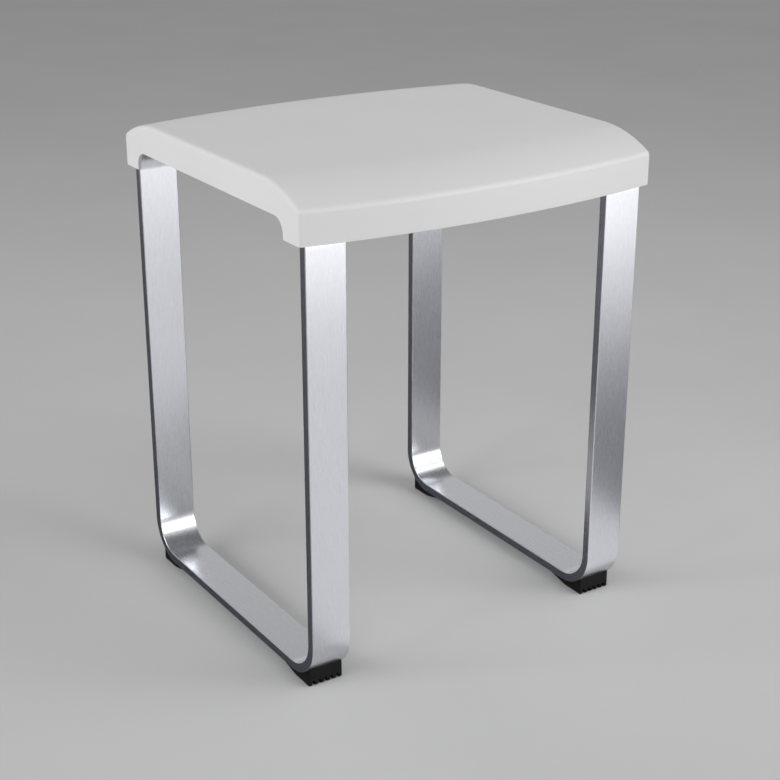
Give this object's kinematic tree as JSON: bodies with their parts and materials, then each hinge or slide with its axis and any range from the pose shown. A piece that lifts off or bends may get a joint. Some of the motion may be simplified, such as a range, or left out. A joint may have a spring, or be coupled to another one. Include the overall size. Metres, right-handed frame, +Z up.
{
  "type": "shower stool",
  "caption": "Backless bath and shower stool: a moulded seat with rolled front and back edges on closed loops of flat bar with grooved rubber feet.",
  "frame": {"origin": "on the floor under the middle of the seat", "axes": "+Z up, X from the left loop to the right loop, Y from front to back"},
  "size_m": [0.375, 0.372, 0.475],
  "materials": {
    "seat_plastic": "fine matte moulded polypropylene, pale grey",
    "leg_aluminium": "satin anodised flat bar",
    "rail_steel": "brushed stainless flat bar",
    "foot_rubber": "black moulded rubber",
    "screw_steel": "plain stainless",
    "insert_brass": "turned brass"
  },
  "bodies": {
    "root": {"seat_shell": "seat_plastic", "left_leg_loop": "leg_aluminium", "right_leg_loop": "leg_aluminium", "front_cross_rail": "rail_steel", "back_cross_rail": "rail_steel", "front_left_foot": "foot_rubber", "front_left_foot_screws": "screw_steel", "front_left_seat_screws": "screw_steel", "front_left_seat_washers": "screw_steel", "front_left_seat_inserts": "insert_brass", "front_right_foot": "foot_rubber", "front_right_foot_screws": "screw_steel", "front_right_seat_screws": "screw_steel", "front_right_seat_washers": "screw_steel", "front_right_seat_inserts": "insert_brass", "back_left_foot": "foot_rubber", "back_left_foot_screws": "screw_steel", "back_left_seat_screws": "screw_steel", "back_left_seat_washers": "screw_steel", "back_left_seat_inserts": "insert_brass", "back_right_foot": "foot_rubber", "back_right_foot_screws": "screw_steel", "back_right_seat_screws": "screw_steel", "back_right_seat_washers": "screw_steel", "back_right_seat_inserts": "insert_brass"}
  },
  "joints": []
}
